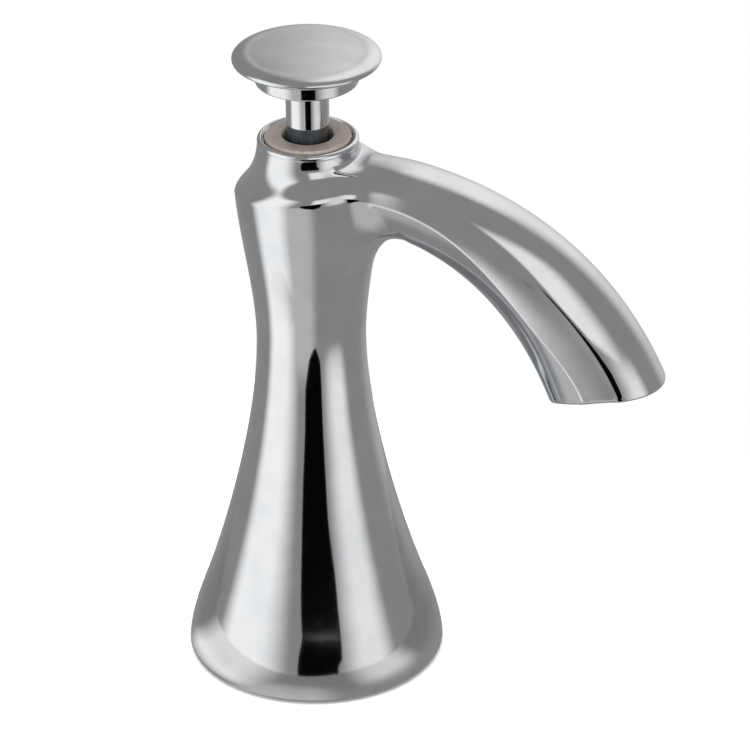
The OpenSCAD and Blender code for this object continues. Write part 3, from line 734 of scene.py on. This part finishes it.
springLow, springHigh, springRadius = heights("return_spring")
springSizes = {"wire": 0.45, "coils": 8.0, "deadCoils": 1.0, "travel": 12.0,
               "stepsPerCoil": 60, "sides": 14}
spring = addPiece("returnSpring", windWire("returnSpring", {
    "Radius": (springRadius - springSizes["wire"]) * mm, "Wire": springSizes["wire"] * mm,
    "Coils": springSizes["coils"],
    "Low": (springLow + springSizes["wire"]) * mm, "High": (springHigh - springSizes["wire"]) * mm,
    "Dead coils": springSizes["deadCoils"],
    "Steps": int(springSizes["coils"] * springSizes["stepsPerCoil"]) + 1, "Sides": springSizes["sides"],
    "Material": finishes["spring_steel"]}), "pump_cartridge", "spring_steel", ["return_spring"])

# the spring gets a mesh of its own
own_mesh(spring)

# the shank's core is turned down under its thread, and the thread is wound on to it at full size
shankLow, shankHigh, shankRadius = heights("mounting_shank")
shankSizes = {"bore": 9.6, "pitch": 2.0, "deep": 0.62, "chamfer": 0.6, "lead": 1.2,
              "plainTop": 3.0, "runOut": 4.0, "clear": 0.1, "stepsPerCoil": 40, "sides": 8, "flatEnds": 0.02}
k = shankSizes
core = lathe("mountingShank", [
    (k["bore"], shankLow, k["chamfer"]), (k["bore"], shankHigh, 0.2), (shankRadius - k["clear"], shankHigh, 0.4),
    (shankRadius - k["clear"], shankHigh - k["plainTop"], 0.1),
    (shankRadius - k["deep"], shankHigh - k["plainTop"] - k["chamfer"], 0.1),
    (shankRadius - k["deep"], shankLow, k["chamfer"])], sides=96)
threadRun = shankHigh - k["runOut"] - k["lead"] - shankLow
thread = windWire("thread", {
    "Radius": (shankRadius - k["deep"]) * mm, "Wire": k["deep"] * mm, "Coils": threadRun / k["pitch"],
    "Low": (shankLow + k["lead"]) * mm, "High": (shankHigh - k["runOut"]) * mm, "Dead coils": k["flatEnds"],
    "Steps": int(threadRun / k["pitch"] * k["stepsPerCoil"]), "Sides": k["sides"],
    "Material": finishes["shank_brass"]})
joined = bmesh.new()
joined.from_mesh(core)
joined.from_mesh(thread)
joined.to_mesh(core)
joined.free()
addPiece("mountingShank", core, "deck_body", "shank_brass", ["mounting_shank"])
print("spring and shank wound")

nodeFinish = {
    "base_gasket": "rubber", "deck_washer": "rubber", "mounting_nut": "nut_plastic",
    "soap_bottle": "bottle_plastic", "bottle_seal": "rubber", "outlet_fitting": "pump_plastic",
    "spout_tube": "clear_tube", "spout_nozzle": "nozzle_plastic", "rod_wiper": "rubber",
    "pump_barrel": "pump_plastic",
    "upper_o_ring": "rubber", "lower_o_ring": "rubber",
    "inlet_valve_seat": "pump_plastic", "dip_tube": "clear_tube", "inlet_ball": "ball_steel",
    "piston_head": "pump_plastic", "piston_seal": "rubber", "outlet_ball": "ball_steel",
}
for name, finish in nodeFinish.items():
    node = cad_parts[name]
    node.data.materials.clear()
    node.data.materials.append(finishes[finish])
print("carried-over nodes finished,", len(nodeFinish))

counterSizes = {"half": 113.0, "corner": 60.0, "thick": 30.0, "hole": 13.4, "edge": 1.5,
                "paintedSheen": 0.8}        # how bright the painted reflection is at a low glance, as a share of the studio tent's level


def buildCounter(s):
    steps = 24
    def outline(half, corner):
        line = []
        for quarter in range(4):
            for k in range(steps + 1):
                a = math.pi / 2 * (quarter + k / steps)
                x = (half - corner) * (1 if quarter in (0, 3) else -1) + corner * math.cos(a)
                y = (half - corner) * (1 if quarter in (0, 1) else -1) + corner * math.sin(a)
                line.append((x, y))
        return line
    count = 4 * (steps + 1)
    hole = []
    for x, y in outline(s["half"], s["corner"]):
        length = math.hypot(x, y)
        hole.append((x / length * s["hole"], y / length * s["hole"]))
    levels = [(hole, -s["thick"]), (hole, 0.0)]
    for k in range(5):
        a = math.pi / 2 * k / 4
        inset = s["edge"] * (1 - math.sin(a))
        levels.append((outline(s["half"] - inset, s["corner"] - inset), -s["edge"] * (1 - math.cos(a))))
    levels.append((outline(s["half"], s["corner"]), -s["thick"]))
    points = [(x, y, z) for line, z in levels for x, y in line]
    faces = []
    for j in range(len(levels)):
        m = (j + 1) % len(levels)
        for k in range(count):
            faces.append([j * count + k, j * count + (k + 1) % count, m * count + (k + 1) % count, m * count + k])
    return meshFrom("counter", points, faces)


# The studio's panels: azimuth from the camera's side, positive to its right, and elevation, both in degrees,
# each from where the panel starts to where it is full, then from there to where it ends.
panels = [
    # level, azimuth, elevation
    (1.25, (-112, -84, -58, -10), (-62, -42, 46, 60)),
    (1.08, (6, 46, 56, 86), (-42, -20, 4, 24)),
    (1.1, (-10, 6, 22, 80), (6, 12, 42, 60)),
    (1.1, (88, 145, 164, 202), (-70, 30, 54, 88)),
    (0.62, (-64, -34, -6, 30), (-90, -60, -28, -12)),
]
tent = {
    "base": 0.32,       # level between the panels
    "runIn": 40,        # degrees before a panel's start from which its azimuth is counted
    "panelBlend": 0.15, "baseBlend": 0.2,
}


def addTentGroup():
    group = bpy.data.node_groups.new("studioTent", "ShaderNodeTree")
    group.interface.new_socket("Direction", in_out="INPUT", socket_type="NodeSocketVector")
    group.interface.new_socket("Level", in_out="OUTPUT", socket_type="NodeSocketFloat")
    way = addNode(group, "NodeGroupInput").outputs["Direction"]
    unit = addNode(group, "ShaderNodeVectorMath", {"operation": "NORMALIZE"}, links={0: way})
    turned = addNode(group, "ShaderNodeVectorRotate", {"rotation_type": "Z_AXIS"},
                     {"Angle": math.radians(-shot["azimuth"])}, {"Vector": unit.outputs["Vector"]})
    xyz = addNode(group, "ShaderNodeSeparateXYZ", links={"Vector": turned.outputs["Vector"]})
    back = addNode(group, "ShaderNodeMath", {"operation": "MULTIPLY"}, {1: -1.0}, {0: xyz.outputs["Y"]})
    azimuth = addNode(group, "ShaderNodeMath", {"operation": "ARCTAN2"},
                      links={0: xyz.outputs["X"], 1: back.outputs[0]})
    azimuth = addNode(group, "ShaderNodeMath", {"operation": "DEGREES"}, links={0: azimuth.outputs[0]})
    elevation = addNode(group, "ShaderNodeMath", {"operation": "ARCSINE"}, links={0: xyz.outputs["Z"]})
    elevation = addNode(group, "ShaderNodeMath", {"operation": "DEGREES"}, links={0: elevation.outputs[0]})
    level = None
    for bright, across, height in panels:
        # azimuth runs on from the panel's start, so that a panel may pass behind the object
        start = across[0] - tent["runIn"]
        turn = addNode(group, "ShaderNodeMath", {"operation": "SUBTRACT"}, {1: float(start)},
                       {0: azimuth.outputs[0]})
        turn = addNode(group, "ShaderNodeMath", {"operation": "FLOORED_MODULO"}, {1: 360.0}, {0: turn.outputs[0]})
        edges = [(turn, across[0] - start, across[1] - start, 0, 1),
                 (turn, across[2] - start, across[3] - start, 1, 0),
                 (elevation, height[0], height[1], 0, 1), (elevation, height[2], height[3], 1, 0)]
        mask = None
        for source, low, high, lowValue, highValue in edges:
            edge = addNode(group, "ShaderNodeMapRange", {"interpolation_type": "SMOOTHSTEP"},
                           {"From Min": float(low), "From Max": float(high), "To Min": float(lowValue),
                            "To Max": float(highValue)}, {"Value": source.outputs[0]})
            mask = edge if mask is None else addNode(group, "ShaderNodeMath", {"operation": "MULTIPLY"},
                                                     links={0: mask.outputs[0], 1: edge.outputs[0]})
        lit = addNode(group, "ShaderNodeMath", {"operation": "MULTIPLY"}, {1: bright}, {0: mask.outputs[0]})
        level = lit if level is None else addNode(group, "ShaderNodeMath", {"operation": "SMOOTH_MAX"},
                                                  {2: tent["panelBlend"]},
                                                  {0: level.outputs[0], 1: lit.outputs[0]})
    base = addNode(group, "ShaderNodeMath", {"operation": "SMOOTH_MAX"},
                   {1: tent["base"], 2: tent["baseBlend"]}, {0: level.outputs[0]})
    addNode(group, "NodeGroupOutput", links={"Level": base.outputs[0]})
    return group


tentGroup = addTentGroup()

counter = bpy.data.objects.new("counter", buildCounter(counterSizes))
scene.collection.objects.link(counter)
# Honed white stone: even and matt to the eye. Glossy rays meet a painted reflection instead, an emission of the
# studio tent's pattern rather than the stone's own gloss.
stone = bpy.data.materials.new("honed white stone, painted reflection")
stone.use_nodes = True
tree = stone.node_tree
tree.nodes.clear()
place = addNode(tree, "ShaderNodeTexCoord").outputs["Object"]
stoneFace = addNode(tree, "ShaderNodeBsdfPrincipled", values={"Roughness": 0.6, "Specular IOR Level": 0.2})
mottle(tree, stoneFace, place, "#f3f3f2", "#fafafa", 6.0)
flatWay = addNode(tree, "ShaderNodeVectorMath", {"operation": "MULTIPLY_ADD"}, {1: (1, 1, 0), 2: (0, 0, -0.02)},
                  {0: place})
# painted sheen: the studio tent's level at a low glance, which the counter emits for glossy rays
paintedSheen = addNode(tree, "ShaderNodeGroup", {"node_tree": tentGroup}, links={"Direction": flatWay.outputs["Vector"]})
# painted reflection: seen steeply, it emits the studio's level beyond it at the same slope, so that it doesn't
# end in a hard edge
facing = addNode(tree, "ShaderNodeLayerWeight", values={"Blend": 0.5})
outward = addNode(tree, "ShaderNodeVectorMath", {"operation": "NORMALIZE"}, links={0: flatWay.outputs["Vector"]})
sine = addNode(tree, "ShaderNodeMath", {"operation": "SUBTRACT"}, {0: 1.0}, {1: facing.outputs["Facing"]})
square = addNode(tree, "ShaderNodeMath", {"operation": "MULTIPLY"},
                 links={0: sine.outputs[0], 1: sine.outputs[0]})
rest = addNode(tree, "ShaderNodeMath", {"operation": "SUBTRACT"}, {0: 1.0}, {1: square.outputs[0]})
cosine = addNode(tree, "ShaderNodeMath", {"operation": "SQRT"}, links={0: rest.outputs[0]})
spread = addNode(tree, "ShaderNodeVectorMath", {"operation": "SCALE"},
                 links={0: outward.outputs["Vector"], "Scale": cosine.outputs[0]})
drop = addNode(tree, "ShaderNodeCombineXYZ", links={"Z": sine.outputs[0]})
steepWay = addNode(tree, "ShaderNodeVectorMath", {"operation": "SUBTRACT"},
                   links={0: spread.outputs["Vector"], 1: drop.outputs["Vector"]})
low = addNode(tree, "ShaderNodeGroup", {"node_tree": tentGroup}, links={"Direction": steepWay.outputs["Vector"]})
grazing = addNode(tree, "ShaderNodeMapRange", {"interpolation_type": "SMOOTHSTEP"},
                  {"From Min": 0.55, "From Max": 0.8},
                  {"Value": facing.outputs["Facing"]})
dimmed = addNode(tree, "ShaderNodeMath", {"operation": "MULTIPLY"}, {1: counterSizes["paintedSheen"]},
                 {0: paintedSheen.outputs["Level"]})
level = addNode(tree, "ShaderNodeMix", {"data_type": "FLOAT"},
                links={0: grazing.outputs["Result"], 2: low.outputs["Level"], 3: dimmed.outputs[0]})
# painted reflection: the counter glows with this level, and only glossy rays see the glow
paintedGlow = addNode(tree, "ShaderNodeEmission", links={"Color": level.outputs[0]})
ray = addNode(tree, "ShaderNodeLightPath")
stoneOrPaintedReflection = addNode(tree, "ShaderNodeMixShader", links={"Fac": ray.outputs["Is Glossy Ray"],
                                                      1: stoneFace.outputs["BSDF"],
                                                      2: paintedGlow.outputs["Emission"]})
addNode(tree, "ShaderNodeOutputMaterial", links={"Surface": stoneOrPaintedReflection.outputs["Shader"]})
counter.data.materials.append(stone)

# A black card standing well before the counter, seen only in the chrome.
# Its corners are (side, height), down the left edge and then up the right.
card = {"away": 700.0,
        "left": [(-168, 122), (-205, 60), (-215, 0), (-210, -40), (-180, -95), (-172, -190), (-60, -290),
                 (60, -365)],
        "right": [(110, -370), (215, -285), (228, -200), (225, -90), (230, 0), (285, 40), (295, 122)]}


def buildCard(k):
    a = math.radians(shot["azimuth"])
    ahead, side = np.array([math.sin(a), -math.cos(a), 0]), np.array([math.cos(a), math.sin(a), 0])
    corners = [ahead * k["away"] + side * u + np.array([0, 0, v]) for u, v in k["left"] + k["right"]]
    return meshFrom("blackCard", corners, [list(range(len(corners)))])


# Nylon flock on card: it gives back almost nothing, so the chrome's streak stays black.
def drawFlock(tree, surface, place):
    mottle(tree, surface, place, "#030303", "#050505", 3.0)


blackCard = bpy.data.objects.new("blackCard", buildCard(card))
scene.collection.objects.link(blackCard)
felt = makeMaterial("black flocked card", {"Roughness": 1.0, "Specular IOR Level": 0.0}, drawFlock)
blackCard.data.materials.append(felt)
blackCard.visible_camera = blackCard.visible_diffuse = blackCard.visible_shadow = False

lamps = [
    # name, place in millimetres, aim, side in millimetres, watts
    ("overhead", (0, 0, 1500), (0, 0, 0), 1600, 34.0),
    ("frontFill", (600, -1400, 300), (0, 0, 0), 900, 14.0),
    ("backFill", (-900, 1200, 200), (0, 0, 0), 900, 10.0),
]
for name, spot, aim, side, power in lamps:
    lamp = bpy.data.lights.new(name, "AREA")
    lamp.shape, lamp.size, lamp.energy = "SQUARE", side * mm, power
    holder = bpy.data.objects.new(name, lamp)
    scene.collection.objects.link(holder)
    holder.location = Vector(spot) * mm
    holder.rotation_euler = (Vector(aim) - Vector(spot)).to_track_quat("-Z", "Y").to_euler()
    holder.visible_glossy = False

world = bpy.data.worlds.new("studio")
scene.world = world
world.use_nodes = True
sky = world.node_tree
sky.nodes.clear()
way = addNode(sky, "ShaderNodeTexCoord").outputs["Generated"]
around = addNode(sky, "ShaderNodeGroup", {"node_tree": tentGroup}, links={"Direction": way})
tentLight = addNode(sky, "ShaderNodeBackground", links={"Color": around.outputs["Level"]})
plain = addNode(sky, "ShaderNodeBackground", values={"Color": (1, 1, 1, 1)})
skyRay = addNode(sky, "ShaderNodeLightPath")
pick = addNode(sky, "ShaderNodeMixShader", links={"Fac": skyRay.outputs["Is Camera Ray"],
                                                  1: tentLight.outputs["Background"],
                                                  2: plain.outputs["Background"]})
addNode(sky, "ShaderNodeOutputWorld", links={"Surface": pick.outputs["Shader"]})
print("counter and light made")
